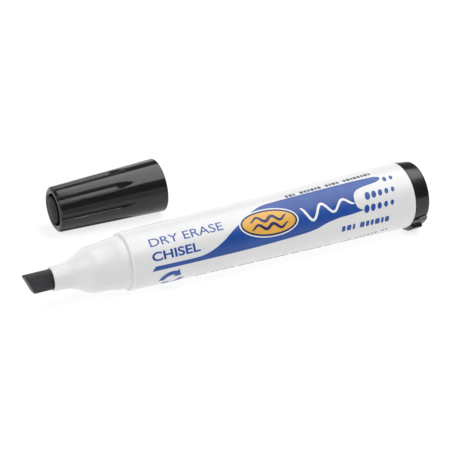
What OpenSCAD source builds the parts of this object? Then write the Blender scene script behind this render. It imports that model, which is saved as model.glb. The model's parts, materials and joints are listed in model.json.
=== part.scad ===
// Whiteboard marker with a chisel nib. It lies uncapped on a flat surface, with its cap behind it.
// Inside: a fibre reservoir in a film sleeve, fed by the nib, and held by ribs and the rear plug.

/* [Barrel] */
// Length of the barrel, from the cap's stop to the rear plug
barrel_len = 84.6; // [70:0.1:105]
// Outside diameter of the barrel at the cap's stop
shoulder_d = 15.6; // [13:0.1:19]
// Outside diameter of the barrel at its tail
tail_d = 18.7; // [17:0.1:23]
// Thickness of the barrel's wall
barrel_wall = 1.3; // [1:0.05:1.6]
// Height of the step that the cap's mouth closes against
shoulder_step = 0.8; // [0.6:0.05:1.1]

/* [Nose] */
// Length of the nose, from the cap's stop to its mouth
nose_len = 20; // [16.5:0.1:24]
// Length of the straight seat that the cap's mouth slides on
seat_len = 2.4; // [2:0.1:3]
// How far from the stop the nose is waisted, before it curves in
waist_at = 8.5; // [7.5:0.1:9.5]
// How much the nose's radius narrows from the seat to the waist
waist_drop = 0.75; // [0.5:0.05:1]
// Length of the narrow tube round the nib
tube_len = 3.6; // [3:0.1:4.5]
// Thickness of that tube's wall
tube_wall = 0.75; // [0.6:0.05:1]
// Thickness of the nose's wall
nose_wall = 1.15; // [0.9:0.05:1.4]

/* [Nib] */
// Diameter of the round rod that the nib is cut from
nib_d = 5.4; // [4.5:0.1:6.5]
// Thickness of the nib between its two flats
nib_thick = 3.4; // [2.8:0.1:4]
// How far the nib's long edge stands out of the nose
nib_proud = 7.4; // [6:0.1:9]
// How far the nib's rear reaches into the reservoir
nib_feed = 8; // [6:0.5:12]
// Slant of the writing edge
nib_slant = 22.5; // [15:0.5:35]
// Roll of the nib's flat, up towards the viewer
nib_roll = 14; // [0:1:30]

/* [Reservoir] */
// Thickness of the film sleeve
film = 0.12; // [0.08:0.02:0.3]
// Height of the centring ribs where the barrel is narrowest
rib_min = 0.35; // [0.3:0.05:0.8]
// Thickness of each rib and fin
rib_thick = 0.9; // [0.7:0.1:1.2]

/* [Rear plug] */
// Length of the plug's visible ring
ring_len = 4.9; // [4:0.1:7]
// Length of the skirt inside the barrel
skirt_len = 8; // [6:0.5:10]
// Thickness of the skirt's wall
skirt_wall = 1.1; // [0.9:0.1:1.4]
// Thickness of the plug's end wall
end_wall = 1.6; // [1.2:0.1:2.2]
// How far the foot stands out past the ring, to stop the marker rolling
foot_proud = 1.05; // [0.6:0.05:1.3]

/* [Cap] */
// Outside diameter of the cap at its vented end
cap_end_d = 13.1; // [12:0.1:14.5]
// Number of flutes round the cap
flute_count = 8; // [6:1:9]
// Depth of each flute
flute_depth = 0.6; // [0.3:0.05:0.7]
// Radius of each flute's hollow
flute_r = 1.4; // [1.2:0.1:2]
// Thickness of the shell's wall at the vented end, between flutes
cap_end_wall = 1.15; // [1:0.05:1.5]
// How far from the mouth the flutes end
flute_stop = 9.5; // [7:0.5:14]
// Length over which each flute rises to its end
flute_rise = 4.5; // [3:0.5:6]
// How far the domed end stands out past the fluted wall
dome_len = 0.85; // [0.5:0.05:1.2]
// Diameter of the vent hole in the domed end
vent_d = 9.4; // [8.6:0.1:10]
// Room between the nib and the inner cup's floor
nib_room = 3.1; // [1:0.1:4]
// Distance from the inner cup's floor to the start of the domed end
cup_floor = 1; // [0.8:0.1:2]
// Width of the ring-shaped vent round the inner cup
vent_gap = 0.9; // [0.5:0.05:1.1]

/* [Fits] */
// Running gap where the cap slides on the nose
slide_gap = 0.05; // [0.03:0.01:0.1]
// Bite of the parts that are pressed together
press_bite = 0.03; // [0.01:0.01:0.05]
// Gap round the parts that are dropped in
loose_gap = 0.05; // [0.03:0.01:0.1]

/* [Layout] */
// How far behind the cap's stop the loose cap's mouth lies
cap_x = 29; // [0:0.1:60]
// Distance between the marker's axis and the loose cap's axis
cap_y = 41.3; // [24:0.1:80]

/* [Hidden] */
$fn = 96;
over = 1;             // how far a cutter runs past what it cuts
steps = 16;           // straight pieces in a curved stretch of a profile
edge = 0.2;           // chamfer on the moulded edges
snug = 0.02;          // gap where fibres or a seal only just touch

// barrel and nose
shoulder_r = shoulder_d / 2;
tail_r = tail_d / 2;
seat_r = shoulder_r - shoulder_step;
waist_r = seat_r - waist_drop;
nib_r = nib_d / 2;
nib_bore_r = nib_r - press_bite;
tube_r = nib_r + tube_wall;
tube_from = nose_len - tube_len;
mouth_r = tube_r - 0.2;
cavity_shift = 1.2;   // how far the nose's inner curve lags its outer one
stop_at = 0.6;        // where the reservoir stops, behind the cap's stop
chamber_r = shoulder_r - barrel_wall;
chamber_tail_r = tail_r - barrel_wall;

// reservoir, from the stop to the plug's spokes
sleeve_r = chamber_r - rib_min - loose_gap;
core_r = sleeve_r - film - snug;
core_end = barrel_len - skirt_len - 1.5;
rib_count = 6;
rib_end = core_end;
fin_front = tube_from - cavity_shift - 0.5;

// rear plug
ring_end_r = tail_r - 0.55;
ring_round = 0.25;
plug_end = barrel_len + ring_len;
foot_step = 0.2;      // first tier of the foot
foot_angle = 25.4;    // where that tier starts, below the marker's side
heel_angle = 43;      // where the second, lower tier starts
heel_back = 1.1;      // how far the second tier stops short of the plug's end
heel_slope = 0.9;     // length and height of the slope at its front
groove = 0.35;        // groove along the top of the foot
spoke_r = max(sleeve_r, chamber_tail_r - skirt_wall - 0.5);

// the marker leans a little, because its tail is thicker than its shoulder
sole_drop = tail_r + 0.25;
lean = atan((sole_drop - shoulder_r) / barrel_len);

// cap
cap_len = nose_len + nib_proud + nib_room + cup_floor;
cap_r = shoulder_r;
cap_end_r = cap_end_d / 2;
cap_seat_r = seat_r + slide_gap;
cap_seat_len = seat_len + 0.4;
cap_bore_r = cap_seat_r - 0.1;
cap_end_bore_r = cap_end_r - cap_end_wall;
vent_r = vent_d / 2;
cap_lean = atan((cap_r - cap_end_r) / cap_len);
seal_from = nose_len - tube_len - 0.1;
seal_r = tube_r + snug;
cup_wall = 0.6;       // thinnest wall of the inner cup
cup_bore_r = nib_r + 0.6;
cup_r = max(vent_r - vent_gap, cup_bore_r + cup_wall);
cup_end = cap_len + dome_len;
cup_mouth_r = seal_r + 0.8;
cup_dome = 0.4;
web_count = 4;
web_from = seal_from + 4;
web_to = cap_len - 2.5;

// everything is moved so that the middle of the whole layout's footprint is the origin
low_x = -(nose_len + nib_proud);
high_x = plug_end;
low_y = -tail_r;
high_y = cap_y + cap_r;
middle = [-(low_x + high_x) / 2, -(low_y + high_y) / 2, 0];

// 0 to 1 with level ends
function ease(t) = t * t * (3 - 2 * t);

// radius of a straight taper at station x
function between(x, x0, r0, x1, r1) = r0 + (r1 - r0) * (x - x0) / (x1 - x0);

function chamber_at(x) = between(x, 0, chamber_r, barrel_len, chamber_tail_r);

// S-curve of a profile, from one radius to another, as [radius, station] points
function swell(x0, r0, x1, r1) =
    [for (i = [0:steps]) [r0 + (r1 - r0) * ease(i / steps), x0 + (x1 - x0) * i / steps]];

// turns a profile of [radius, station] points round the X axis
module lathe(profile) {
    rotate([0, 90, 0]) rotate_extrude() polygon(profile);
}

// lays the marker, or the loose cap, on the surface at z = 0
module lay_marker() {
    translate(middle + [0, 0, shoulder_r * cos(lean)]) rotate([0, -lean, 0]) children();
}

module lay_cap() {
    translate(middle + [cap_x, cap_y, cap_r * cos(cap_lean)]) rotate([0, -cap_lean, 0]) children();
}

// a box that spans x0..x1 and z0..z1, centred on y
module slab(x0, x1, width, z0, z1) {
    translate([x0, -width / 2, z0]) cube([x1 - x0, width, z1 - z0]);
}

module barrel_outside() {
    lathe(concat(
        [[0, -nose_len], [mouth_r - edge, -nose_len], [mouth_r, edge - nose_len]],
        swell(-tube_from, tube_r, -waist_at, waist_r),
        [for (i = [1:steps / 2])
            let (t = i / (steps / 2)) [waist_r + waist_drop * t * t, between(t, 0, -waist_at, 1, -seat_len)]],
        [[seat_r, 0], [shoulder_r - edge, 0], [shoulder_r, edge], [tail_r, barrel_len], [0, barrel_len]]));
}

module barrel_inside() {
    lathe(concat(
        [[0, -nose_len - over], [nib_bore_r, -nose_len - over]],
        swell(cavity_shift - tube_from, nib_bore_r, cavity_shift - waist_at, waist_r - nose_wall),
        [[seat_r - barrel_wall, stop_at], [chamber_r, stop_at], [chamber_tail_r, barrel_len],
         [chamber_tail_r, barrel_len + over], [0, barrel_len + over]]));
}

// plates like spokes, along x0..x1, from an inner radius out to an outer one
module spokes(count, x0, x1, inner_r, outer_r, thick) {
    for (i = [0:count - 1])
        rotate([i * 360 / count, 0, 0]) slab(x0, x1, thick, inner_r, outer_r);
}

// the barrel, its nose and its inner ribs are one moulding
module barrel() {
    color("whitesmoke") lay_marker() {
        difference() {
            barrel_outside();
            difference() {
                barrel_inside();
                // fins that hold the nib, with ink air between them
                intersection() {
                    spokes(rib_count, -fin_front, stop_at, nib_r + loose_gap, seat_r, rib_thick);
                    lathe([[0, -nose_len], [seat_r, -nose_len], [seat_r, stop_at], [0, stop_at]]);
                }
                // ribs that centre the reservoir
                spokes(rib_count, stop_at, rib_end, sleeve_r + loose_gap, tail_r, rib_thick);
            }
        }
    }
}

// felt rod with two flats, cut on a slant at the writing end
module nib() {
    tip = nose_len + nib_proud;
    color("dimgray") lay_marker() rotate([nib_roll, 0, 0])
        difference() {
            intersection() {
                translate([-tip, 0, 0]) rotate([0, 90, 0]) cylinder(h = tip + nib_feed, r = nib_r);
                slab(-tip, nib_feed, nib_thick, -nib_r, nib_r);
            }
            // the slanted writing edge, which runs back from the top of the nib
            translate([-tip, 0, nib_r]) rotate([0, nib_slant, 0])
                slab(-nib_d, 0, nib_d, -2 * nib_d, nib_d);
            // a small bevel on both faces of the writing edge
            for (side = [-1, 1])
                translate([-tip, side * (nib_thick / 2 - 0.5), nib_r]) rotate([0, nib_slant, 0])
                    rotate([0, 0, -side * 35]) slab(-nib_d, 0, 2 * nib_d, -2 * nib_d, nib_d);
            // the rear end is tapered, to press into the fibres
            translate([nib_feed, 0, 0]) rotate([0, -90, 0]) difference() {
                cylinder(h = 1.5, r = nib_d);
                cylinder(h = 1.5, r1 = nib_r - 0.8, r2 = nib_r + 0.01);
            }
        }
}

// bundle of ink-soaked fibres, with a socket for the nib
module reservoir_core() {
    socket_r = nib_r + snug;
    color("darkslategray") lay_marker()
        lathe([[socket_r, stop_at], [core_r, stop_at], [core_r, core_end], [0, core_end],
               [0, nib_feed + 0.1], [socket_r, nib_feed + 0.1]]);
}

// thin film round the fibres
module reservoir_sleeve() {
    color("gainsboro") lay_marker()
        lathe([[sleeve_r - film, stop_at], [sleeve_r, stop_at], [sleeve_r, core_end],
               [sleeve_r - film, core_end]]);
}

// visible ring with its rounded end, and the skirt pressed into the barrel
module plug_body() {
    skirt_front = barrel_len - skirt_len;
    skirt_in_r = chamber_at(skirt_front) - skirt_wall;
    lathe(concat(
        [[skirt_in_r, skirt_front], [chamber_at(skirt_front) + press_bite - edge, skirt_front],
         [chamber_at(skirt_front + edge) + press_bite, skirt_front + edge],
         [chamber_tail_r + press_bite, barrel_len], [tail_r - 0.05, barrel_len], [tail_r, barrel_len + 0.1]],
        [for (i = [0:6]) let (a = i * 15)
            [ring_end_r - ring_round * (1 - cos(a)), plug_end - ring_round * (1 - sin(a))]],
        [[tail_r - 3, plug_end], [tail_r - 3.3, plug_end - 0.3], [0, plug_end - 0.3],
         [0, plug_end - end_wall], [skirt_in_r, plug_end - end_wall]]));
}

// two-tiered foot under the ring
module plug_foot() {
    tier_z = tail_r * sin(foot_angle);
    heel_z = tail_r * sin(heel_angle);
    intersection() {
        lathe([[chamber_tail_r, barrel_len], [tail_r + foot_step, barrel_len],
               [tail_r + foot_step, plug_end - 0.3], [chamber_tail_r, plug_end - 0.3]]);
        slab(barrel_len, plug_end, 2 * tail_d, -tail_d, -tier_z);
    }
    intersection() {
        lathe([[chamber_tail_r, barrel_len], [tail_r + foot_proud - heel_slope, barrel_len],
               [tail_r + foot_proud, barrel_len + heel_slope], [tail_r + foot_proud, plug_end - heel_back],
               [chamber_tail_r, plug_end - heel_back]]);
        slab(barrel_len, plug_end, 2 * tail_d, -tail_d, -heel_z);
    }
}

module rear_plug() {
    groove_z = tail_r * sin(foot_angle);
    color("#26262a") difference() {
        lay_marker() {
            difference() {
                union() {
                    plug_body();
                    plug_foot();
                }
                for (side = [-1, 1])
                    translate([barrel_len - over, side * (tail_r * cos(foot_angle)) - groove, -groove_z])
                        cube([ring_len + 2 * over, 2 * groove, groove]);
            }
            // crossed spokes that push on the reservoir
            intersection() {
                spokes(4, core_end, plug_end - end_wall, 0, tail_r, rib_thick);
                lathe([[0, core_end], [spoke_r, core_end], [spoke_r, plug_end - end_wall],
                       [0, plug_end - end_wall]]);
            }
        }
        // the sole is cut level with the surface that the marker lies on
        translate(middle + [barrel_len - tail_d, -tail_d, -tail_d]) cube([3 * tail_d, 2 * tail_d, tail_d]);
    }
}

// round hollow that follows the shell's taper, and thins to nothing towards the mouth
module flute() {
    thin_from = flute_stop + flute_rise;
    thin_r = (flute_r - flute_depth) / 2;
    thin_len = flute_rise * (flute_r - thin_r) / flute_depth;
    axis_r = between(thin_from, 0, cap_r, cap_len, cap_end_r) - flute_depth + flute_r;
    translate([-thin_from, 0, axis_r]) rotate([0, -cap_lean, 0])
        lathe([[0, -cap_len], [flute_r, -cap_len], [flute_r, 0], [thin_r, thin_len], [0, thin_len]]);
}

// fluted outer shell, open at both ends, with webs that hold the inner cup
module cap_shell() {
    lip_at = -cap_len + 0.3;
    color("#1c1c20") lay_cap() {
        difference() {
            lathe(concat(
                [[cap_seat_r + edge, 0], [cap_r - edge, 0], [cap_r, -edge]],
                [for (i = [0:steps / 2]) let (a = i * 180 / steps)
                    [vent_r + (cap_end_r - vent_r) * cos(a), -cap_len - dome_len * sin(a)]],
                [[vent_r, lip_at], [cap_end_bore_r, lip_at], [cap_bore_r, -cap_seat_len],
                 [cap_seat_r, -cap_seat_len], [cap_seat_r, -edge]]));
            for (i = [0:flute_count - 1]) rotate([i * 360 / flute_count, 0, 0]) flute();
        }
        intersection() {
            spokes(web_count, -web_to, -web_from, cup_r_at(web_to) - press_bite, cap_r, rib_thick);
            lathe([[cup_mouth_r - press_bite, -web_from], [shell_bore(web_from) + 0.2, -web_from],
                   [shell_bore(web_to) + 0.2, -web_to], [cup_r_at(web_to) - press_bite, -web_to]]);
        }
    }
}

// inside radius of the shell and outside radius of the inner cup, at a depth from the mouth
function shell_bore(depth) = between(depth, cap_seat_len, cap_bore_r, cap_len, cap_end_bore_r);
function cup_r_at(depth) = between(depth, seal_from, cup_mouth_r, cup_end, cup_r);

// cup that seals on the nose's tube, with the domed disc that shows at the cap's end
module cap_inner_cup() {
    floor_at = cap_len - cup_floor;
    color("#2a2a2e") lay_cap()
        lathe(concat(
            [[seal_r + edge, -seal_from], [cup_mouth_r, -seal_from], [cup_r, -cup_end]],
            [for (i = [1:steps / 2]) let (t = i / (steps / 2))
                [cup_r * (1 - t), -cup_end - cup_dome * (1 - (1 - t) * (1 - t))]],
            [[0, -floor_at], [cup_bore_r - 0.4, -floor_at], [cup_bore_r, 0.4 - floor_at],
             [cup_bore_r, -nose_len - 1], [seal_r, -nose_len - 0.5], [seal_r, -seal_from - edge]]));
}

barrel();
nib();
reservoir_core();
reservoir_sleeve();
rear_plug();
cap_shell();
cap_inner_cup();
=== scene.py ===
"""Looks for a whiteboard marker that lies uncapped, with its fluted cap behind it.

Each sub-assembly is a class that holds its sizes in millimetres and builds its own meshes. A place on the marker or the
cap is given as a station along its axis, a radius, and an angle round it that starts at the near side and goes up.
"""

import json
import logging
import math
from dataclasses import dataclass
from enum import Enum
from typing import Callable, Optional, Sequence, Union

import bmesh
import bpy
import numpy as np
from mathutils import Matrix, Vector


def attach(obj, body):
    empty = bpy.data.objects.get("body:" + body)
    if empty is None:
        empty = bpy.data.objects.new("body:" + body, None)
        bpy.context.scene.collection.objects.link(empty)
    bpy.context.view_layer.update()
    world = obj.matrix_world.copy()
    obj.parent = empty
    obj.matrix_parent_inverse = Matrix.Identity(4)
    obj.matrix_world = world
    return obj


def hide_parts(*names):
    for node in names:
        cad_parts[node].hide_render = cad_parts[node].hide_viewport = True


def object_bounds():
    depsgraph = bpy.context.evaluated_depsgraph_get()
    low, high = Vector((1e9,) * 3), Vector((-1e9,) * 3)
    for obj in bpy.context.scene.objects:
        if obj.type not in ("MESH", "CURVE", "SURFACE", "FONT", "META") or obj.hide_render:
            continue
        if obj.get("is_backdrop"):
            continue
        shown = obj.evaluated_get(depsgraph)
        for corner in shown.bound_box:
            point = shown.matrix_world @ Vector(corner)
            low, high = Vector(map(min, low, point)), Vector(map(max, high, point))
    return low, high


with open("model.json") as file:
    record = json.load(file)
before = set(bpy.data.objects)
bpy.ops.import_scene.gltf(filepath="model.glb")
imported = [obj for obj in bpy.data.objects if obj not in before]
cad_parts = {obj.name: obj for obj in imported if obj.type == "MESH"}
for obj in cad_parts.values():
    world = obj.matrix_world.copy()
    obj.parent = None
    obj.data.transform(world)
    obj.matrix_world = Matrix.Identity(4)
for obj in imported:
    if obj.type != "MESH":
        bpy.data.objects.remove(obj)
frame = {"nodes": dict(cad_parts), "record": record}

LOG = logging.getLogger("marker")
MM = 0.001
OVERLAP = 0.02  # how deep plates sink into what they join, in millimetres
Number = Union[float, "Wire"]


# ---- Shader expressions ------------------------------------------------------


@dataclass(frozen=True)
class Wire:
    """One output socket of a shader. Arithmetic on it adds Math nodes."""

    shader: "Shader"
    socket: bpy.types.NodeSocket

    def _math(self, operation: str, *values: Number) -> "Wire":
        """Adds a Math node and returns its result."""
        return self.shader.node("ShaderNodeMath", {"operation": operation}, dict(enumerate(values)))

    def __add__(self, other: Number) -> "Wire":
        """self + other."""
        return self._math("ADD", self, other)

    def __mul__(self, other: Number) -> "Wire":
        """self * other."""
        return self._math("MULTIPLY", self, other)

    def __rmul__(self, other: Number) -> "Wire":
        """other * self."""
        return self._math("MULTIPLY", other, self)

    def span(self, low: float, high: float, to_low: float = 0.0, to_high: float = 1.0) -> "Wire":
        """Maps low..high smoothly to to_low..to_high, and holds the ends.

        Args:
            low, high: the stretch of this value that is mapped.
            to_low, to_high: what its two ends become.

        Returns:
            The mapped value.
        """
        return self.shader.node(
            "ShaderNodeMapRange", {"interpolation_type": "SMOOTHSTEP"},
            {"Value": self, "From Min": low, "From Max": high, "To Min": to_low, "To Max": to_high})


class Shader:
    """A material under construction, with one Principled shader."""

    def __init__(self, name: str) -> None:
        """Starts an empty material.

        Args:
            name: the material's name.
        """
        self.material = bpy.data.materials.new(name)
        self.material.use_nodes = True
        self.tree = self.material.node_tree
        self.tree.nodes.clear()
        self.surface = self.tree.nodes.new("ShaderNodeBsdfPrincipled")
        output = self.tree.nodes.new("ShaderNodeOutputMaterial")
        self.tree.links.new(self.surface.outputs[0], output.inputs["Surface"])

    def node(self, kind: str, settings: Optional[dict] = None, inputs: Optional[dict] = None,
             output: Union[int, str] = 0) -> Wire:
        """Adds one node.

        Args:
            kind: the node's type.
            settings: properties that are set before anything is plugged in.
            inputs: values or wires, by socket name or number.
            output: the socket that is returned.

        Returns:
            The asked output.
        """
        made = self.tree.nodes.new(kind)
        for key, value in (settings or {}).items():
            setattr(made, key, value)
        for key, value in (inputs or {}).items():
            self._plug(made.inputs[key], value)
        return Wire(self, made.outputs[output])

    def _plug(self, socket: bpy.types.NodeSocket, value: object) -> None:
        """Links a wire to a socket, or sets the socket's own value."""
        if isinstance(value, Wire):
            self.tree.links.new(value.socket, socket)
        elif isinstance(value, tuple) and len(value) == 3 and socket.type == "RGBA":
            socket.default_value = (*value, 1.0)
        else:
            socket.default_value = value

    def set(self, **values: object) -> None:
        """Sets or links sockets of the Principled shader; an underscore in a name stands for a space."""
        for key, value in values.items():
            self._plug(self.surface.inputs[key.replace("_", " ")], value)

    def place(self) -> Wire:
        """The point in the piece's own coordinates, in metres."""
        return self.node("ShaderNodeTexCoord", output="Object")

    def noise(self, size_mm: float, detail: float = 2.0, rough: float = 0.5, vector: Optional[Wire] = None) -> Wire:
        """Noise whose features are about size_mm across.

        Args:
            size_mm: how big a blotch is.
            detail: how many finer layers it has.
            rough: how strong these layers are.
            vector: where it is read, or None for the piece's own coordinates.

        Returns:
            A value around 0.5.
        """
        return self.node("ShaderNodeTexNoise", {}, {
            "Vector": vector or self.place(), "Scale": 1.0 / (size_mm * MM), "Detail": detail, "Roughness": rough})

    def stretched(self, x: float, y: float, z: float) -> Wire:
        """The piece's own coordinates, scaled by a factor on each axis."""
        return self.node("ShaderNodeMapping", {}, {"Vector": self.place(), "Scale": (x, y, z)})

    def mix(self, share: Number, low: object, high: object) -> Wire:
        """A colour between low and high."""
        return self.node("ShaderNodeMix", {"data_type": "RGBA"}, {0: share, 6: low, 7: high}, output=2)

    def bump(self, height: Wire, depth_mm: float, strength: float = 1.0, under: Optional[Wire] = None) -> Wire:
        """Turns a height from 0 to 1 into a normal.

        Args:
            height: the relief.
            depth_mm: how deep it is.
            strength: its share that shows.
            under: a coarser relief that this one lies on.

        Returns:
            The bent normal.
        """
        inputs: dict = {"Height": height, "Distance": depth_mm * MM, "Strength": strength}
        if under is not None:
            inputs["Normal"] = under
        return self.node("ShaderNodeBump", {}, inputs)


# ---- Finishes ----------------------------------------------------------------


@dataclass(frozen=True)
class MouldedPlastic:
    """Glossy moulded polypropylene, with a faint texture and a little handling wear."""

    name: str
    colour: tuple[float, float, float]
    shade: tuple[float, float, float]
    gloss: float = 0.28
    dull: float = 0.38
    grain_mm: float = 0.35
    grain_depth_mm: float = 0.004
    clouding_mm: float = 9.0
    glow: float = 0.0
    index: float = 1.49

    def build(self) -> bpy.types.Material:
        """Makes the material.

        Returns:
            The material: cloudy colour, patchy gloss, fine grain and hairline scuffs.
        """
        s = Shader(self.name)
        cloud = s.noise(self.clouding_mm, 3.0, 0.55)
        smear = s.noise(2.2, 4.0, 0.6, s.stretched(0.35, 1.0, 1.0))
        grain = s.noise(self.grain_mm, 2.0, 0.6)
        scuff = s.noise(0.5, 2.0, 0.5, s.stretched(0.04, 1.0, 1.0)).span(0.66, 0.74)
        s.set(
            Base_Color=s.mix(cloud.span(0.3, 0.7), self.shade, self.colour),
            Roughness=smear.span(0.3, 0.75, self.gloss, self.dull) + 0.05 * scuff,
            Normal=s.bump(grain, self.grain_depth_mm, 0.5, s.bump(cloud, 0.02, 0.35)),
            IOR=self.index,
            Subsurface_Weight=self.glow, Subsurface_Radius=(1.0, 0.95, 0.9), Subsurface_Scale=0.8 * MM)
        return s.material


@dataclass(frozen=True)
class PrintedInk:
    """Ink that was screen-printed in one thin layer."""

    name: str
    colour: tuple[float, float, float]
    thin: tuple[float, float, float]

    def build(self) -> bpy.types.Material:
        """Makes the material.

        Returns:
            The material: a dense colour that thins out in small specks, with a fine screen texture.
        """
        s = Shader(self.name)
        speck = s.noise(0.22, 3.0, 0.7)
        drift = s.noise(5.0, 2.0, 0.5)
        s.set(
            Base_Color=s.mix((speck.span(0.62, 0.8) * 0.55 + drift.span(0.35, 0.7) * 0.25), self.colour, self.thin),
            Roughness=speck.span(0.3, 0.7, 0.3, 0.42),
            Normal=s.bump(speck, 0.004, 0.5), IOR=1.48)
        return s.material


@dataclass(frozen=True)
class InkedFelt:
    """Pressed felt, soaked with ink: fibres that run along the nib, and a dull sheen."""

    name: str = "inked_felt"
    colour: tuple[float, float, float] = (0.021, 0.021, 0.024)
    dry: tuple[float, float, float] = (0.062, 0.062, 0.068)

    def build(self) -> bpy.types.Material:
        """Makes the material.

        Returns:
            The material: streaked charcoal with fibre relief.
        """
        s = Shader(self.name)
        fibre = s.noise(0.13, 3.0, 0.65, s.stretched(0.22, 1.0, 1.0))
        blotch = s.noise(1.3, 3.0, 0.6)
        pores = s.noise(0.1, 2.0, 0.6)
        s.set(
            Base_Color=s.mix(fibre.span(0.38, 0.72) * 0.7 + blotch.span(0.4, 0.8) * 0.3, self.colour, self.dry),
            Roughness=blotch.span(0.3, 0.7, 0.55, 0.8),
            Normal=s.bump(fibre, 0.03, 0.7, s.bump(pores, 0.02, 0.4)),
            Sheen_Weight=0.15, Sheen_Roughness=0.5, IOR=1.4)
        return s.material


@dataclass(frozen=True)
class SoakedFibre:
    """Bundled polyester fibres of the reservoir, dark with ink."""

    name: str = "soaked_fibre"

    def build(self) -> bpy.types.Material:
        """Makes the material: long fibres, wet and dark."""
        s = Shader(self.name)
        strand = s.noise(0.12, 3.0, 0.7, s.stretched(0.03, 1.0, 1.0))
        wet = s.noise(6.0, 3.0, 0.6)
        s.set(
            Base_Color=s.mix(strand.span(0.35, 0.7), (0.012, 0.013, 0.016), (0.07, 0.075, 0.085)),
            Roughness=wet.span(0.3, 0.7, 0.35, 0.7), Normal=s.bump(strand, 0.05, 0.8))
        return s.material


@dataclass(frozen=True)
class ClearFilm:
    """Thin wrapping film round the reservoir."""

    name: str = "clear_film"

    def build(self) -> bpy.types.Material:
        """Makes the material: glossy, slightly wrinkled and see-through."""
        s = Shader(self.name)
        crease = s.noise(1.6, 3.0, 0.6, s.stretched(0.3, 1.0, 1.0))
        s.set(
            Base_Color=s.mix(crease.span(0.35, 0.7), (0.68, 0.71, 0.75), (0.86, 0.88, 0.9)),
            Roughness=crease.span(0.3, 0.7, 0.12, 0.25), Normal=s.bump(crease, 0.05, 0.5),
            Alpha=0.55)
        return s.material


@dataclass(frozen=True)
class PaleFloor:
    """Matt white surface that the marker lies on."""

    name: str = "pale_floor"

    def build(self) -> bpy.types.Material:
        """Makes the material: white board with a faint tooth."""
        s = Shader(self.name)
        tooth = s.noise(1.5, 3.0, 0.5)
        s.set(
            Base_Color=s.mix(tooth, (0.26, 0.26, 0.26), (0.28, 0.28, 0.28)),
            Roughness=0.9, Specular_IOR_Level=0.1,
            Emission_Color=(1.0, 1.0, 1.0), Emission_Strength=0.79)
        return s.material


class Finish(Enum):
    """The finishes of this object."""

    WHITE = MouldedPlastic("white_polypropylene", (0.795, 0.795, 0.795), (0.775, 0.777, 0.78), 0.3, 0.4, glow=0.12)
    BLACK = MouldedPlastic("black_polypropylene", (0.008, 0.008, 0.0085), (0.0055, 0.0055, 0.006), 0.12, 0.19,
                           index=1.46)
    DULL_BLACK = MouldedPlastic("dull_black_polypropylene", (0.009, 0.009, 0.0095), (0.006, 0.006, 0.0065), 0.4, 0.5,
                                index=1.15)
    BLUE_INK = PrintedInk("blue_ink", (0.008, 0.062, 0.32), (0.028, 0.12, 0.42))
    NAVY_INK = PrintedInk("navy_ink", (0.012, 0.02, 0.10), (0.04, 0.05, 0.16))
    AMBER_INK = PrintedInk("amber_ink", (0.80, 0.42, 0.06), (0.84, 0.52, 0.16))
    WHITE_INK = PrintedInk("white_ink", (0.88, 0.88, 0.88), (0.72, 0.76, 0.86))
    GREY_INK = PrintedInk("grey_ink", (0.085, 0.095, 0.15), (0.2, 0.21, 0.27))
    FELT = InkedFelt()
    FIBRE = SoakedFibre()
    FILM = ClearFilm()
    FLOOR = PaleFloor()

    def material(self) -> bpy.types.Material:
        """The finish's material, made once.

        Returns:
            The material.
        """
        return bpy.data.materials.get(self.value.name) or self.value.build()


# ---- Geometry ----------------------------------------------------------------


@dataclass(frozen=True)
class Axis:
    """A straight axis of a turned piece: where it starts, and the way it runs."""

    start: np.ndarray
    along: np.ndarray

    def point(self, u: np.ndarray, r: np.ndarray, angle: np.ndarray) -> np.ndarray:
        """Point = start + u along + r (-cos(angle) side + sin(angle) up), where side is +Y and up is along x side.

        Args:
            u, r: station and radius in millimetres.
            angle: radians, 0 on the near side and growing upwards.

        Returns:
            Points in metres, with one more dimension than the arguments.
        """
        return self.cross(u, r * np.cos(angle), r * np.sin(angle))

    def cross(self, u: np.ndarray, near: np.ndarray, up_mm: np.ndarray) -> np.ndarray:
        """Point = start + u along - near side + up_mm up, all in millimetres.

        Args:
            u: station.
            near: how far towards the near side.
            up_mm: how far up.

        Returns:
            Points in metres.
        """
        side = np.array([0.0, 1.0, 0.0])
        up = np.cross(self.along, side)
        u, near, up_mm = np.broadcast_arrays(u, near, up_mm)
        return self.start + MM * (u[..., None] * self.along - near[..., None] * side + up_mm[..., None] * up)


def placed(name: str, data: bpy.types.ID) -> bpy.types.Object:
    """A new object in the scene, at the origin, unturned and unscaled."""
    made = bpy.data.objects.new(name, data)
    bpy.context.scene.collection.objects.link(made)
    return made


def ease(t: np.ndarray) -> np.ndarray:
    """0 to 1 with level ends: 3t^2 - 2t^3."""
    return t * t * (3.0 - 2.0 * t)


def smooth_step(past: np.ndarray, over: float) -> np.ndarray:
    """0 before past = 0 and 1 after past = over, with level ends."""
    return ease(np.clip(past / over, 0, 1))


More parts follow.
